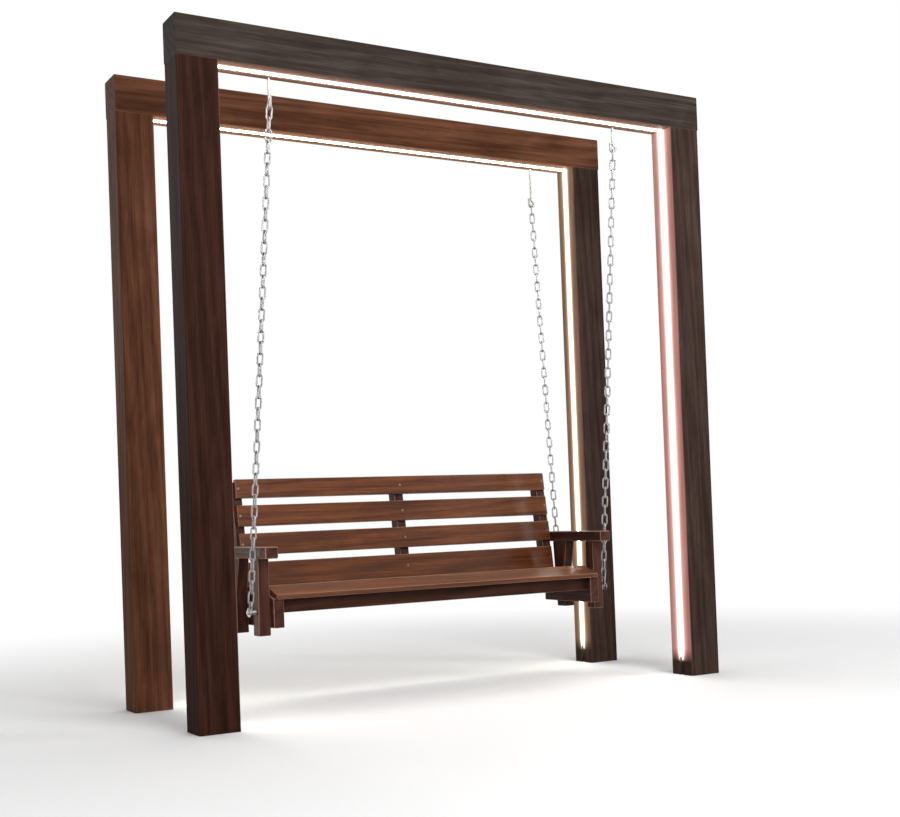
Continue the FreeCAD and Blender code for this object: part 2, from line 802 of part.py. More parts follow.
def bolt_along_x(name, hand, head_face, tip, along, height):
    """Hexagon bolt whose head sits outside head_face and whose end reaches in to tip."""
    low = f"min({hand} * ({head_face}); {hand} * ({tip}))"
    shank = rod(name + "_shank", "bolt_diameter / 2", f"({head_face}) - ({tip})",
                (low, along, height), "x")
    start = f"{hand} * ({head_face})" if hand > 0 else f"-1 * ({head_face}) - bolt_head_height"
    head = hexagon(name + "_head", "bolt_head_flats", "bolt_head_height", (start, along, height), "x")
    return fuse(name, [shank, head])


def ring_along_x(name, hand, outer, near, length, along, height):
    """Washer or spacer round a bolt, from near outwards by length."""
    start = near if hand > 0 else f"-1 * ({near}) - ({length})"
    return ring_piece(name, outer, "bolt_diameter / 2 + bolt_play", length, (start, along, height), "x")


def nut_along_x(name, hand, near, along, height):
    start = near if hand > 0 else f"-1 * ({near}) - bolt_nut_height"
    return nut_piece(name, "bolt_head_flats", "bolt_diameter / 2", "bolt_nut_height",
                     (start, along, height), "x")


def make_chain_bolts():
    link_half = "(link_wire / 2 + link_side_play)"
    face = f"(front_anchor_x + {link_half})"
    head = f"({face} + washer_thickness)"
    leg_face = "(bench_half - leg_taper * front_anchor_height / leg_height + joint_play)"
    inner = "(leg_inner - bearer_thickness)"
    nut = f"({inner} - washer_thickness - bolt_nut_height)"
    pieces = {"bolts": [], "washers": [], "spacers": [], "nuts": []}
    for side, hand in SIDES:
        name = f"{side}_chain"
        spot = ("front_anchor_y", "front_anchor_z")
        pieces["bolts"].append(
            bolt_along_x(name + "_bolt", hand, head, f"{nut} - bolt_end", *spot))
        pieces["washers"] += [
            ring_along_x(name + "_outer_washer", hand, "large_washer / 2", face,
                         "washer_thickness", *spot),
            ring_along_x(name + "_inner_washer", hand, "small_washer / 2",
                         f"{inner} - washer_thickness", "washer_thickness", *spot)]
        pieces["spacers"].append(
            ring_along_x(name + "_spacer", hand, "spacer_diameter / 2", leg_face,
                         f"front_anchor_x - {link_half} - {leg_face}", *spot))
        pieces["nuts"].append(nut_along_x(name + "_nut", hand, nut, *spot))
    for kind, items in pieces.items():
        keep(group(f"chain_{kind}", items), f"chain_{kind}")


def leg_bolt_spots():
    for side, hand in SIDES:
        for number in (0, 1):
            height = f"foot_height + leg_bolt_height + {number} * leg_bolt_rise"
            yield f"{side}_leg_bolt_{number + 1}", hand, height


def make_leg_bolts():
    bolts = []
    nuts = []
    inner = "(leg_inner - bearer_thickness)"
    for name, hand, height in leg_bolt_spots():
        bolts.append(bolt_along_x(name, hand, "bench_half + joint_play",
                                  f"{inner} - bolt_nut_height - bolt_end", "leg_bolt_y", height))
        nuts.append(nut_along_x(name + "_nut", hand, f"{inner} - bolt_nut_height",
                                "leg_bolt_y", height))
    keep(group("leg_bolts", bolts), "leg_bolts")
    keep(group("leg_bolt_nuts", nuts), "leg_bolt_nuts")


def bolt_holes():
    holes = []
    length = "leg_thickness + bearer_thickness + 2 * overrun"
    for side, hand in SIDES:
        start = "leg_inner - bearer_thickness - overrun" if hand > 0 else "-1 * bench_half - overrun"
        spots = [("front_anchor_y", "front_anchor_z")]
        spots += [("leg_bolt_y", height) for name, way, height in leg_bolt_spots() if way == hand]
        for number, (along, height) in enumerate(spots, 1):
            holes.append(rod(f"{side}_bolt_hole_{number}", "bolt_diameter / 2 + bolt_play",
                             length, (start, along, height), "x"))
    return holes


def pin_spots():
    """Name, middle and direction of each wooden pin."""
    leg = "(bench_half - leg_thickness / 2)"
    rear = "(rear_top_face + rear_top_depth / 2)"
    rail = "(front_rail_face + front_rail_thickness / 2)"
    for side, hand in SIDES:
        top = "foot_height + leg_height"
        yield f"{side}_front_leg_pin", (f"{hand} * {leg}", "front_anchor_y", top), "z"
        yield f"{side}_rear_leg_pin", (f"{hand} * {leg}", rear, top), "z"
        yield (f"{side}_bearer_pin",
               (f"{hand} * leg_inner", "front_anchor_y",
                "foot_height + front_anchor_height - pin_length"), "x")
        yield (f"{side}_rail_pin",
               (f"{hand} * (leg_inner - bearer_thickness)", rail,
                "foot_height + front_rail_foot + pin_length / 2"), "x")


def make_pins(name, play):
    pins = []
    for spot_name, middle, axis in pin_spots():
        length = f"(pin_length + 2 * {play})"
        base = list(middle)
        base["xyz".index(axis)] += f" - {length} / 2"
        pins.append(rod(f"{name}_{spot_name}", f"pin_diameter / 2 + {play}", length, base, axis))
    return group(name, pins)


# staples in the ends of the rear rail

def staple_shape(hand):
    """Round bar bent to a U: a crossbar along Y and two legs into the rail's end."""
    radius = value("staple_wire") / 2
    front = value("rear_anchor_y - staple_front_room") - radius
    rear = value("rear_anchor_y + staple_rear_room") + radius
    bar_x = value("rear_anchor_x")
    tip_x = bar_x - value("rear_rail_end_gap + staple_grip")
    height = value("rear_anchor_z")
    bend = value("staple_bend")
    slant = bend * (1 - math.cos(math.radians(45)))

    def spot(across, along):
        return FreeCAD.Vector(hand * across, along, height)

    path = Part.Wire([
        Part.LineSegment(spot(tip_x, front), spot(bar_x - bend, front)).toShape(),
        Part.Arc(spot(bar_x - bend, front), spot(bar_x - slant, front + slant),
                 spot(bar_x, front + bend)).toShape(),
        Part.LineSegment(spot(bar_x, front + bend), spot(bar_x, rear - bend)).toShape(),
        Part.Arc(spot(bar_x, rear - bend), spot(bar_x - slant, rear - slant),
                 spot(bar_x - bend, rear)).toShape(),
        Part.LineSegment(spot(bar_x - bend, rear), spot(tip_x, rear)).toShape()])
    section = Part.Wire(Part.Circle(spot(tip_x, front), X_AXIS, radius).toShape())
    return path.makePipeShell([section], True, False)


# chains

def solid_link(pitch):
    """One welded link standing along Z in the XZ plane, centred on the origin."""
    wire = value("link_wire")
    bend = (value("link_inner_width") + wire) / 2
    half = (pitch + value("link_play") - value("link_inner_width")) / 2
    bar = Part.makeCylinder(wire / 2, 2 * half, FreeCAD.Vector(bend, 0, -half), Z_AXIS)
    other = Part.makeCylinder(wire / 2, 2 * half, FreeCAD.Vector(-bend, 0, -half), Z_AXIS)
    crown = half_ring(bend, wire / 2)
    crown.translate(FreeCAD.Vector(0, 0, half))
    foot = half_ring(bend, wire / 2)
    foot.rotate(FreeCAD.Vector(), Y_AXIS, 180)
    foot.translate(FreeCAD.Vector(0, 0, -half))
    return bar.multiFuse([crown, other, foot]).removeSplitter()


def half_ring(bend, radius):
    """Upper half of a ring in the XZ plane."""
    section = Part.Face(Part.Wire(Part.Circle(FreeCAD.Vector(bend, 0, 0), Z_AXIS, radius).toShape()))
    return section.revolve(FreeCAD.Vector(), FreeCAD.Vector(0, -1, 0), 180)


def chain_shape(top, bottom, hanger, reach, turned_last):
    """Links from a hook's pivot at top to the round bar at bottom, the last one reaching below it."""
    run = bottom - top
    length = run.Length
    down = run.normalize()
    play = value("link_play")
    start = value(hanger["start"])
    quarters = hanger["quarters"]
    twist = value(hanger["twist"])
    covered = length + reach - play - start
    count = round(covered / value("link_pitch"))
    if (count - 1 + quarters) % 2 != turned_last:
        count += 1 if covered / value("link_pitch") > count else -1
    pitch = covered / count
    link = solid_link(pitch)
    ahead = (Y_AXIS - down * down.dot(Y_AXIS)).normalize()
    across = down.cross(ahead)
    links = []
    for number in range(count):
        twist_share = min(1, (count - 1 - number) / value("untwist_links"))
        angle = math.radians(90 * (number + quarters) + twist * twist_share)
        spot = top + down * (start + (pitch + play) / 2 + number * pitch)
        wide = ahead * math.cos(angle) + across * math.sin(angle)
        thin = down.cross(wide)
        matrix = FreeCAD.Matrix(wide.x, thin.x, down.x, spot.x,
                                wide.y, thin.y, down.y, spot.y,
                                wide.z, thin.z, down.z, spot.z,
                                0, 0, 0, 1)
        copy = link.copy()
        copy.Placement = FreeCAD.Placement(matrix)
        links.append(copy)
    print(f"chain of {count} links, pitch {pitch:.2f} mm, length {length:.1f} mm")
    return Part.makeCompound(links)


def make_chains():
    """The front chains end on bolts along X, the rear chains on the staples' bars along Y."""
    reaches = {"front": ("bolt_diameter / 2 + link_play", 0),
               "rear": ("staple_wire / 2 + open_pivot_play", 1)}
    for end, (reach, turned_last) in reaches.items():
        for side, hand in SIDES:
            top = (f"{hand} * {end}_hook_x", f"{end}_hook_y", f"{end}_pivot_z")
            foot = (f"{hand} * {end}_anchor_x", f"{end}_anchor_y", f"{end}_anchor_z")
            spots = [FreeCAD.Vector(*(value(rule) for rule in place)) for place in (top, foot)]
            shape_node(f"{end}_{side}_chain",
                       chain_shape(*spots, HANGERS[side], value(reach), turned_last))


# whole object

def make_bench():
    pin_holes = make_pins("pin_holes", "joint_play")
    bolts = group("bolt_holes", bolt_holes())
    leg_holes = group("leg_holes", [bolts, pin_holes])
    make_legs(leg_holes)
    make_arms(pin_holes)
    screw_holes = doc.addObject("Part::Feature", "screw_holes")
    screw_holes.Shape = screws(screw_shape(value("screw_play")))
    bearer_holes = group("bearer_holes", [bolts, pin_holes, screw_holes])
    make_bearers(bearer_holes)
    make_uprights(screw_holes)
    staples = Part.makeCompound([staple_shape(hand) for side, hand in SIDES])
    staple_holes = doc.addObject("Part::Feature", "staple_holes")
    staple_holes.Shape = staples
    make_rails(group("front_rail_holes", [pin_holes, screw_holes]), staple_holes)
    make_slats(screw_holes)
    shape_node("slat_screws", screws(recessed_screw()))
    shape_node("rear_staples", staples)
    keep(make_pins("bench_pins", "0"), "bench_pins")
    make_chain_bolts()
    make_leg_bolts()


def check_and_write():
    doc.recompute()
    for item in doc.Objects:
        if "Invalid" in item.State or "Error" in item.State:
            raise RuntimeError(f"{item.Label} failed: {item.State}")
    for label, item in nodes.items():
        shape = item.Shape
        if shape.isNull() or not shape.isValid() or not shape.Solids:
            raise RuntimeError(f"{label} has no sound solid")
    os.makedirs("parts", exist_ok=True)
    for label, item in nodes.items():
        item.Shape.exportStep(f"parts/{label}.step")
    print(f"{len(nodes)} nodes, {sum(len(item.Shape.Solids) for item in nodes.values())} solids")


make_frames()
make_led_lines()
make_hook_bolts()
make_bench()
make_chains()
check_and_write()
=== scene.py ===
"""Looks for a bench swing: two portal frames with lit grooves, four chains and a slatted bench.

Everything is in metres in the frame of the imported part: X along the bench, -Y its front, +Z up.
Colours are linear.
"""
import math

import bpy
from mathutils import Matrix, Vector


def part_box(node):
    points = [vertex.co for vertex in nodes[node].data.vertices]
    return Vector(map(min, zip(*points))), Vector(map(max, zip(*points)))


# the photograph's size in pixels, and the camera solved from it
IMAGE_WIDTH = 900
IMAGE_HEIGHT = 817
FOCAL_PIXELS = 1315.4
PRINCIPAL_X = 420.8
PRINCIPAL_Y = 492.3
CAMERA_PLACE = Vector((-2.8692, -4.9042, 0.7653))
CAMERA_YAW = 0.5239
CAMERA_PITCH = 0.0160
CAMERA_ROLL = -0.0371

# studio
AMBIENT = 0.25
FLOOR_SEEN = 0.90
FLOOR_BOUNCE = 0.42
FLOOR_RADIUS = 14.0
FLOOR_SIDES = 96
FLOOR_FADE = (1.5, 4.8)
LAMP_TARGET = (0.0, 0.0, 1.1)
# place, side and watts of each square lamp
LAMPS = {"key": ((-0.2, -5.2, 3.6), 2.8, 235.0),
         "fill": ((4.0, -3.5, 2.6), 1.0, 62.0),
         "top": ((0.6, 1.6, 5.6), 4.0, 90.0),
         "rear": ((-2.0, 5.2, 3.4), 3.6, 70.0)}

# lit lines in the frames' grooves
LED_GLOW = 26.0
LED_COLOURS = {"front": (1.0, 0.92, 0.90), "rear": (1.0, 0.95, 0.80)}
DIODE_PITCH = 0.0166
LINE_HALF_WIDTH = 0.010
NEAR_LIGHT = 6.0
FAR_REACH = 0.080
LIT_FROM_HEIGHT = (0.06, 0.12)
# colour, reach and far share of the painted light on the timber beside a lit line, by frame and
# grain
LIT_WOOD = {("front", "Z"): ((0.58, 0.26, 0.22), 0.007, 1.15),
            ("front", "X"): ((0.50, 0.22, 0.11), 0.006, 0.42),
            ("rear", "Z"): ((0.46, 0.26, 0.15), 0.006, 0.55),
            ("rear", "X"): ((0.48, 0.23, 0.12), 0.004, 0.55)}

# wood tones: darkest, middle and lightest grain
DARK_BROWN = ((0.018, 0.0070, 0.0045), (0.038, 0.0148, 0.0098), (0.063, 0.027, 0.018))
GREY_BROWN = ((0.026, 0.018, 0.016), (0.048, 0.036, 0.031), (0.077, 0.060, 0.053))
RED_BROWN = ((0.065, 0.024, 0.012), (0.140, 0.055, 0.029), (0.208, 0.090, 0.050))
DULL_BROWN = ((0.024, 0.014, 0.011), (0.050, 0.030, 0.024), (0.079, 0.050, 0.041))
FRAME_TONES = {"front_beam": GREY_BROWN, "front_left_post": DARK_BROWN,
               "front_right_post": DULL_BROWN, "rear_beam": RED_BROWN,
               "rear_left_post": RED_BROWN, "rear_right_post": DULL_BROWN}
BENCH_TONES = ((0.041, 0.011, 0.003), (0.102, 0.030, 0.009), (0.172, 0.058, 0.017))
# darker copy of the bench tones for legs, arms, bearers and uprights; on the legs and bearers
# under the seat it is partly painted shade
LEG_TONES = ((0.025, 0.009, 0.007), (0.051, 0.019, 0.014), (0.086, 0.036, 0.026))
# painted shade: darkest copy of the bench tones, for the rails in the shade under the seat
APRON_TONES = ((0.020, 0.007, 0.004), (0.044, 0.016, 0.009), (0.073, 0.028, 0.016))
PIN_TONES = ((0.36, 0.22, 0.11), (0.52, 0.34, 0.18), (0.62, 0.44, 0.26))
# painted highlight: the pale tan that rounded edges are lightened towards, in place of the light
# they catch
PAINTED_EDGE_HIGHLIGHT = (0.45, 0.25, 0.18)

# wood finishes: range of roughness, then shares of specular light and of clear coat
OILED = ((0.42, 0.62), (0.015, 0.0))
RAW = ((0.5, 0.7), (0.015, 0.0))
SHINY_VARNISH = ((0.26, 0.42), (0.08, 0.20))
DULL_VARNISH = ((0.26, 0.42), (0.05, 0.03))
COAT_ROUGHNESS = 0.15

# wood pattern: turns that lay the grain along Z, shift from piece to piece, parts of the figure
GRAIN_TURNS = {"X": (0.0, -math.pi / 2, 0.0), "Y": (math.pi / 2, 0.0, 0.0), "Z": (0.0, 0.0, 0.0)}
PIECE_SHIFT = {"X": 7.0, "Y": 3.0, "Z": 11.0}
BAND_PART = 0.14
STREAK_PART = 0.54
FIBRE_PART = 0.32
PORE_DARKNESS = 0.35
# size of the normal's largest part on a rounded edge, and on a face
EDGE_NORMAL = (0.84, 0.965)

# metals
CHAIN_ZINC = (0.35, 0.35, 0.35)
FITTING_ZINC = (0.38, 0.38, 0.38)
BOLT_ZINC = (0.48, 0.48, 0.48)
BRONZED = (0.22, 0.13, 0.08)
DULL_SPOT = 0.62
# painted shade where metal pieces touch: share of the colour left, and its reach
CONTACT_SHADE = 0.12
CONTACT_SHADE_REACH = 0.012
THREAD_PITCH = 0.0015
HOOK_THREAD_LENGTH = 0.03

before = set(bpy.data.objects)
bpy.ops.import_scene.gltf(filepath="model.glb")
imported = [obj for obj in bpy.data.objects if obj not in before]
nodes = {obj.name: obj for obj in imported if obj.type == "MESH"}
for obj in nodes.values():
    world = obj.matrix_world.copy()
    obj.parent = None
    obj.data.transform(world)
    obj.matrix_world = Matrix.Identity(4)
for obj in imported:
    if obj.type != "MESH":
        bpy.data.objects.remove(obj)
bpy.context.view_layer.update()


# node helpers

class Tree:
    """The node tree of a material or world, with short calls to add and join nodes."""

    def __init__(self, owner):
        owner.use_nodes = True
        self.owner = owner
        self.nodes = owner.node_tree.nodes
        self.links = owner.node_tree.links

    def add(self, kind, inputs=None, **settings):
        node = self.nodes.new("ShaderNode" + kind)
        for key, setting in settings.items():
            setattr(node, key, setting)
        for key, source in (inputs or {}).items():
            self.feed(node.inputs[key], source)
        return node

    def feed(self, socket, source):
        if isinstance(source, bpy.types.NodeSocket):
            self.links.new(source, socket)
        elif isinstance(source, bpy.types.Node):
            self.links.new(source.outputs[0], socket)
        else:
            socket.default_value = source

    def math(self, operation, first, second=0.0):
        return self.add("Math", {0: first, 1: second}, operation=operation).outputs[0]

    def noise(self, vector, scale, detail=4.0, roughness=0.55, distortion=0.0):
        return self.add("TexNoise", {"Vector": vector, "Scale": scale, "Detail": detail,
                                     "Roughness": roughness,
                                     "Distortion": distortion}).outputs["Fac"]

    def stretch(self, vector, share):
        """Coordinates with the Z run shrunk, so that a pattern grows long along the grain."""
        return self.add("Mapping", {"Vector": vector, "Scale": (1.0, 1.0, share)}).outputs[0]

    def ramp(self, factor, stops):
        node = self.add("ValToRGB", {"Fac": factor})
        elements = node.color_ramp.elements
        while len(elements) < len(stops):
            elements.new(0.5)
        for element, (place, colour) in zip(elements, stops):
            element.position = place
            element.color = (*colour, 1.0)
        return node.outputs["Color"]

    def span(self, factor, low, high, start=0.0, end=1.0):
        """The factor carried from the range start..end to low..high."""
        return self.add("MapRange", {"Value": factor, "From Min": start, "From Max": end,
                                     "To Min": low, "To Max": high}).outputs[0]

    def mix(self, factor, first, second, blend="MIX"):
        node = self.add("Mix", data_type="RGBA", blend_type=blend)
        self.feed(node.inputs["Factor"], factor)
        for name, source in (("A", first), ("B", second)):
            socket = next(s for s in node.inputs if s.name == name and s.type == "RGBA")
            self.feed(socket, source)
        return next(s for s in node.outputs if s.type == "RGBA")

    def place(self):
        return self.add("TexCoord").outputs["Object"]

    def split(self, vector):
        return self.add("SeparateXYZ", {0: vector}).outputs

    def set(self, **inputs):
        for key, source in inputs.items():
            self.feed(self.nodes["Principled BSDF"].inputs[key.replace("_", " ")], source)

    def bump(self, height, strength, distance):
        self.set(Normal=self.add("Bump", {"Height": height, "Strength": strength,
                                          "Distance": distance}))


def paint(name):
    return Tree(bpy.data.materials.new(name))


# timber

def wood(name, grain, tones, finish, edge_highlight, lit_end=None):
    """Stained timber: growth bands, fibres and pores along the grain, other in each piece.
    lit_end names the frame whose lit line shines along the timber, as painted light in the
    timber's emission."""
    tree = paint(name)
    spot = tree.add("TexCoord")
    turned = tree.add("Mapping", {"Vector": spot.outputs["Object"],
                                  "Rotation": GRAIN_TURNS[grain]}).outputs[0]
    chance = tree.add("ObjectInfo").outputs["Random"]
    jump = tree.add("CombineXYZ", {axis: tree.math("MULTIPLY", chance, shift)
                                   for axis, shift in PIECE_SHIFT.items()})
    own = tree.add("VectorMath", {0: turned, 1: jump}, operation="ADD").outputs[0]
    bands = tree.add("TexWave", {"Vector": tree.stretch(own, 0.05), "Scale": 13.0,
                                 "Distortion": 7.0, "Detail": 3.0, "Detail Scale": 1.6,
                                 "Detail Roughness": 0.6},
                     wave_type="BANDS", bands_direction="DIAGONAL",
                     wave_profile="SIN").outputs["Fac"]
    streaks = tree.noise(tree.stretch(own, 0.022), 150.0, 8.0, 0.70)
    fibres = tree.noise(tree.stretch(own, 0.02), 620.0, 3.0, 0.5)
    pores = tree.noise(tree.stretch(own, 0.03), 1150.0, 2.0, 0.5)
    patches = tree.noise(tree.stretch(own, 0.30), 9.0, 4.0, 0.6, 0.8)
    pore_mask = tree.span(pores, 0.0, 1.0, 0.60, 0.72)
    figure = tree.math("ADD", tree.math("MULTIPLY", bands, BAND_PART),
                       tree.math("ADD", tree.math("MULTIPLY", streaks, STREAK_PART),
                                 tree.math("MULTIPLY", fibres, FIBRE_PART)))
    colour = tree.ramp(figure, ((0.30, tones[0]), (0.50, tones[1]), (0.70, tones[2])))
    shade = tree.span(patches, 0.72, 1.26, 0.3, 0.7)
    shade_colour = tree.add("CombineColor", {"Red": shade, "Green": shade, "Blue": shade})
    colour = tree.mix(1.0, colour, shade_colour, "MULTIPLY")
    colour = tree.mix(tree.math("MULTIPLY", pore_mask, PORE_DARKNESS), colour, (*tones[0], 1.0))
    # painted highlight on the rounded edges, broken up by the streaks
    edge = tree.math("MULTIPLY", edge_mask(tree, spot.outputs["Normal"]), edge_highlight)
    edge = tree.math("MULTIPLY", edge, tree.span(streaks, 0.5, 1.0, 0.35, 0.65))
    colour = tree.mix(edge, colour, (*PAINTED_EDGE_HIGHLIGHT, 1.0))
    (smooth, rough), (specular, coat) = finish
    tree.set(Base_Color=colour, Roughness=tree.span(streaks, smooth, rough, 0.3, 0.7),
             Specular_IOR_Level=specular, Coat_Weight=coat, Coat_Roughness=COAT_ROUGHNESS)
    height = tree.math("ADD", tree.math("MULTIPLY", streaks, 0.6),
                       tree.math("MULTIPLY", fibres, 0.4))
    height = tree.math("SUBTRACT", height, tree.math("MULTIPLY", pore_mask, 0.5))
    tree.bump(height, 0.40, 0.0005)
    # painted light: the timber beside a lit line glows in its own emission
    if lit_end:
        light, glow = lit_glow(tree, spot, lit_end, grain)
        glow = tree.math("MULTIPLY", glow, tree.span(figure, 0.75, 1.15, 0.3, 0.7))
        tree.set(Emission_Color=light, Emission_Strength=glow)
    return tree.owner


def lit_glow(tree, spot, end, grain):
    """Colour and strength of the painted light on the face in which a lit line lies, fading away
    from the line and taking on the colour of the timber."""
    warm, near_reach, far_share = LIT_WOOD[end, grain]
    low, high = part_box(f"{end}_beam")
    place = tree.split(spot.outputs["Object"])
    face = tree.split(spot.outputs["Normal"])
    off = tree.math("ABSOLUTE", tree.math("SUBTRACT", place["Y"], (low.y + high.y) / 2))
    off = tree.math("MAXIMUM", tree.math("SUBTRACT", off, LINE_HALF_WIDTH), 0.0)
    near = tree.math("EXPONENT", tree.math("MULTIPLY", off, -1 / near_reach))
    far = tree.math("EXPONENT", tree.math("MULTIPLY", off, -1 / FAR_REACH))
    light = tree.math("ADD", tree.math("MULTIPLY", near, NEAR_LIGHT),
                      tree.math("MULTIPLY", far, far_share))
    if grain == "Z":
        inward = tree.math("MULTIPLY", tree.math("SIGN", place["X"]), face["X"])
        light = tree.math("MULTIPLY", light, tree.span(place["Z"], 0.0, 1.0, *LIT_FROM_HEIGHT))
    else:
        inward = face["Z"]
    colour = tree.mix(near, (*warm, 1.0), (*LED_COLOURS[end], 1.0))
    return colour, tree.math("MULTIPLY", light, tree.span(inward, 1.0, 0.0, -0.95, -0.6))


def edge_mask(tree, normal):
    """1 where a rounded edge faces away from all three axes, 0 on the faces of a piece."""
    parts = tree.split(normal)
    across, along, up = (tree.math("ABSOLUTE", parts[axis]) for axis in "XYZ")
    largest = tree.math("MAXIMUM", tree.math("MAXIMUM", across, along), up)
    return tree.span(largest, 1.0, 0.0, *EDGE_NORMAL)


# metal and light

def metal(name, base, roughness, thread=None, shade_reach=None):
    """Plated steel with a faint spangle; thread gives an axis and the stretch that is threaded,
    and the last argument the distance within which touching pieces darken each other as painted
    shade."""
    tree = paint(name)
    place = tree.place()
    cloud = tree.noise(place, 60.0, 4.0, 0.6)
    grit = tree.noise(place, 900.0, 3.0, 0.6)
    spangle = tree.add("TexVoronoi", {"Vector": place, "Scale": 420.0}).outputs["Color"]
    dull = tuple(DULL_SPOT * part for part in base)
    colour = tree.mix(tree.span(cloud, 0.0, 1.0, 0.42, 0.68), (*base, 1.0), (*dull, 1.0))
    colour = tree.mix(0.10, colour, spangle, "SOFT_LIGHT")
    if shade_reach:
        # painted shade: ambient occlusion darkens the metal where pieces touch
        open_share = tree.add("AmbientOcclusion", {"Distance": shade_reach}, samples=8).outputs["AO"]
        painted_shade = tuple(CONTACT_SHADE * part for part in base)
        colour = tree.mix(tree.span(open_share, 0.0, 1.0, 0.25, 0.85), (*painted_shade, 1.0), colour)
    smooth, rough = roughness
    tree.set(Base_Color=colour, Metallic=1.0, Roughness=tree.span(grit, smooth, rough, 0.3, 0.7))
    height = tree.math("MULTIPLY", grit, 0.25)
    if thread:
        axis, start, end = thread
        along = tree.math("ABSOLUTE", tree.split(place)[axis])
        inside = tree.math("MULTIPLY", tree.math("GREATER_THAN", along, start),
                           tree.math("LESS_THAN", along, end))
        turns = tree.math("SINE", tree.math("MULTIPLY", along, 2 * math.pi / THREAD_PITCH))
        height = tree.math("ADD", height, tree.math("MULTIPLY", turns, inside))
    tree.bump(height, 0.5, 0.0004)
    return tree.owner


def opal(name, light):
    """Milky cover lit from behind by a tape of diodes."""
    tree = paint(name)
    haze = tree.noise(tree.place(), 25.0, 2.0, 0.5)
    colour = tree.ramp(haze, ((0.3, (0.93, 0.90, 0.87)), (0.7, (0.97, 0.95, 0.93))))
    tree.set(Base_Color=colour, Roughness=0.4, Emission_Color=(*light, 1.0),
             Emission_Strength=LED_GLOW)
    return tree.owner


def tape(name):
    """Diode tape: a white strip with square amber phosphors at a steady pitch."""
    tree = paint(name)
    place = tree.place()
    parts = tree.split(place)
    lit_along, lit_up = (
        tree.math("GREATER_THAN",
                  tree.math("SINE", tree.math("MULTIPLY", parts[axis], 2 * math.pi / DIODE_PITCH)),
                  0.6)
        for axis in "XZ")
    dots = tree.math("MULTIPLY", lit_along, lit_up)
    colour = tree.mix(dots, (0.86, 0.86, 0.84, 1.0), (0.85, 0.62, 0.12, 1.0))
    tree.set(Base_Color=colour, Roughness=tree.span(tree.noise(place, 300.0), 0.3, 0.5))
    return tree.owner


def channel(name):
    """Drawn aluminium with fine lines along it."""
    tree = paint(name)
    lines = tree.noise(tree.stretch(tree.place(), 0.02), 1500.0, 2.0, 0.5)
    colour = tree.ramp(lines, ((0.3, (0.60, 0.60, 0.61)), (0.7, (0.76, 0.76, 0.77))))
    tree.set(Base_Color=colour, Metallic=1.0, Roughness=tree.span(lines, 0.28, 0.42))
    tree.bump(lines, 0.2, 0.0002)
    return tree.owner


# which piece wears what

def dress(material, *names):
    for name in names:
        mesh = nodes[name].data
        mesh.materials.clear()
        mesh.materials.append(material)


def both(*patterns):
    """Node names with each of front and rear, or left and right, put in."""
    found = []
    for pattern in patterns:
        for end in ("front", "rear") if "{end}" in pattern else ("",):
            for side in ("left", "right") if "{side}" in pattern else ("",):
                found.append(pattern.format(end=end, side=side))
    return found


def dress_frames():
    for piece, tones in FRAME_TONES.items():
        grain = "X" if piece.endswith("beam") else "Z"
        dress(wood(f"{piece}_timber", grain, tones, OILED, 0.10, piece.split("_")[0]), piece)
    for end in ("front", "rear"):
        dress(opal(f"{end}_opal_cover", LED_COLOURS[end]),
              *both(f"{end}_beam_led_cover", f"{end}_{{side}}_led_cover"))
    dress(wood("dowel_wood", "Z", PIN_TONES, RAW, 0.2), "beam_dowels", "bench_pins")
    dress(channel("channel_metal"), *both("{end}_beam_led_channel", "{end}_{side}_led_channel"))
    dress(tape("led_tape"), "led_tapes")


def dress_bench():
    along = wood("red_timber_along_x", "X", BENCH_TONES, SHINY_VARNISH, 0.7)
    apron = wood("shade_darkened_timber_along_x", "X", APRON_TONES, DULL_VARNISH, 0.5)
    upright = wood("dark_red_timber_upright", "Z", LEG_TONES, DULL_VARNISH, 0.75)
    deep = wood("dark_red_timber_along_y", "Y", LEG_TONES, DULL_VARNISH, 0.75)
    seats = [f"{word}_seat_slat" for word in ("front", "second", "third", "rear")]
    backs = [f"{word}_back_slat" for word in ("bottom", "lower", "upper", "top")]
    dress(along, *seats, *backs)
    # painted shade: the rails under the seat wear the darkest copy of the bench timber
    dress(apron, "front_rail", "rear_rail")
    dress(upright, *both("{end}_{side}_leg", "{side}_back_upright"), "middle_back_upright")
    dress(deep, *both("{side}_arm", "{side}_bearer"), "middle_bearer")


def dress_metal():
    dress(metal("zinc_chain", CHAIN_ZINC, (0.34, 0.52), shade_reach=CONTACT_SHADE_REACH),
          *both("{end}_{side}_chain"))
    beam_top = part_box("front_beam")[1].z
    hook_thread = ("Z", beam_top - HOOK_THREAD_LENGTH, beam_top)
    dress(metal("zinc_hook_bolts", CHAIN_ZINC, (0.34, 0.52), hook_thread, CONTACT_SHADE_REACH),
          *both("{end}_hook_bolts"))
    dress(metal("zinc_fittings", FITTING_ZINC, (0.34, 0.52)),
          "hook_washers", "hook_nuts", "chain_washers", "chain_spacers", "chain_nuts",
          "leg_bolt_nuts", "rear_staples")
    nut_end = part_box("chain_nuts")[1].x
    dress(metal("zinc_bench_bolts", BOLT_ZINC, (0.30, 0.48), ("X", 0.0, nut_end)),
          "chain_bolts", "leg_bolts")
    dress(metal("bronzed_screws", BRONZED, (0.35, 0.50)), "slat_screws")


def smooth_meshes():
    """Shade round parts as round, with edges over 30 degrees kept sharp."""
    for item in nodes.values():
        item.data.shade_smooth()
        item.data.set_sharp_from_angle(angle=math.radians(30))


# stage: floor, world, lamps and camera

def seen_rays(tree):
    """1 for rays from the camera and for those in mirrors and glass."""
    path = tree.add("LightPath")
    seen = tree.math("MAXIMUM", path.outputs["Is Camera Ray"], path.outputs["Is Glossy Ray"])
    return tree.math("MAXIMUM", seen, path.outputs["Is Transmission Ray"])


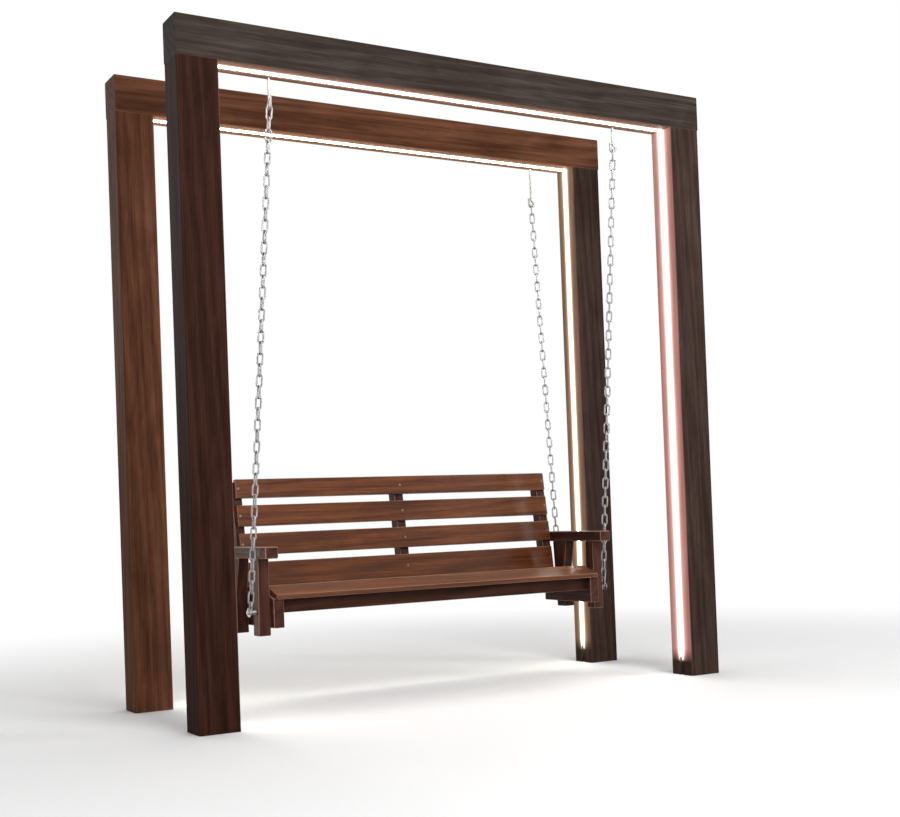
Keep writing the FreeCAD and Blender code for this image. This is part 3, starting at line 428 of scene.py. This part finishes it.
def make_floor():
    """Pale disc that keeps the shadow and fades to plain white away from the swing."""
    rim = [(FLOOR_RADIUS * math.cos(turn), FLOOR_RADIUS * math.sin(turn), 0.0)
           for turn in (2 * math.pi * step / FLOOR_SIDES for step in range(FLOOR_SIDES))]
    mesh = bpy.data.meshes.new("floor")
    mesh.from_pydata(rim, [], [list(range(FLOOR_SIDES))])
    floor = bpy.data.objects.new("floor", mesh)
    bpy.context.scene.collection.objects.link(floor)
    tree = paint("floor_paint")
    place = tree.place()
    grain = tree.noise(place, 40.0, 3.0)
    colour = tree.ramp(grain, ((0.3, (FLOOR_SEEN * 0.985,) * 3), (0.7, (FLOOR_SEEN,) * 3)))
    seen = seen_rays(tree)
    colour = tree.mix(seen, (FLOOR_BOUNCE, FLOOR_BOUNCE, FLOOR_BOUNCE, 1.0), colour)
    tree.set(Base_Color=colour, Roughness=0.75, Specular_IOR_Level=0.2)
    reach = tree.add("VectorMath", {0: place}, operation="LENGTH").outputs["Value"]
    fade_start, fade_end = FLOOR_FADE
    fade = tree.add("MapRange", {"Value": reach, "From Min": fade_start, "From Max": fade_end},
                    interpolation_type="SMOOTHSTEP")
    white = tree.add("Emission", {"Color": (1.0, 1.0, 1.0, 1.0), "Strength": 1.0})
    blend = tree.add("MixShader", {0: tree.math("MULTIPLY", fade.outputs[0], seen),
                                   1: tree.nodes["Principled BSDF"], 2: white})
    tree.feed(tree.nodes["Material Output"].inputs["Surface"], blend)
    mesh.materials.append(tree.owner)


def make_world():
    world = bpy.data.worlds.new("studio")
    bpy.context.scene.world = world
    tree = Tree(world)
    ambient = tree.nodes["Background"]
    ambient.inputs["Color"].default_value = (1.0, 1.0, 1.0, 1.0)
    ambient.inputs["Strength"].default_value = AMBIENT
    white = tree.add("Background", {"Color": (1.0, 1.0, 1.0, 1.0), "Strength": 1.0})
    blend = tree.add("MixShader", {0: seen_rays(tree), 1: ambient, 2: white})
    tree.feed(tree.nodes["World Output"].inputs["Surface"], blend)


def make_lamp(name, place, size, power):
    light = bpy.data.lights.new(name, "AREA")
    light.shape = "SQUARE"
    light.size = size
    light.energy = power
    lamp = bpy.data.objects.new(name, light)
    lamp.location = place
    aim = Vector(LAMP_TARGET) - Vector(place)
    lamp.rotation_euler = aim.to_track_quat("-Z", "Y").to_euler()
    bpy.context.scene.collection.objects.link(lamp)


def make_camera():
    forward = Vector((math.sin(CAMERA_YAW) * math.cos(CAMERA_PITCH),
                      math.cos(CAMERA_YAW) * math.cos(CAMERA_PITCH), math.sin(CAMERA_PITCH)))
    level = Vector((math.cos(CAMERA_YAW), -math.sin(CAMERA_YAW), 0.0))
    above = level.cross(forward)
    right = level * math.cos(CAMERA_ROLL) + above * math.sin(CAMERA_ROLL)
    up = above * math.cos(CAMERA_ROLL) - level * math.sin(CAMERA_ROLL)
    lens = bpy.data.cameras.new("camera")
    lens.sensor_fit = "HORIZONTAL"
    lens.lens = FOCAL_PIXELS / IMAGE_WIDTH * lens.sensor_width
    lens.shift_x = (IMAGE_WIDTH / 2 - PRINCIPAL_X) / IMAGE_WIDTH
    lens.shift_y = (PRINCIPAL_Y - IMAGE_HEIGHT / 2) / IMAGE_WIDTH
    camera = bpy.data.objects.new("camera", lens)
    turn = Matrix((right, up, -forward)).transposed().to_4x4()
    camera.matrix_world = Matrix.Translation(CAMERA_PLACE) @ turn
    bpy.context.scene.collection.objects.link(camera)
    bpy.context.scene.camera = camera


smooth_meshes()
dress_frames()
dress_bench()
dress_metal()
make_floor()
make_world()
for lamp_name, (lamp_place, lamp_size, lamp_power) in LAMPS.items():
    make_lamp(lamp_name, lamp_place, lamp_size, lamp_power)
make_camera()
bpy.context.scene.view_settings.view_transform = "Standard"
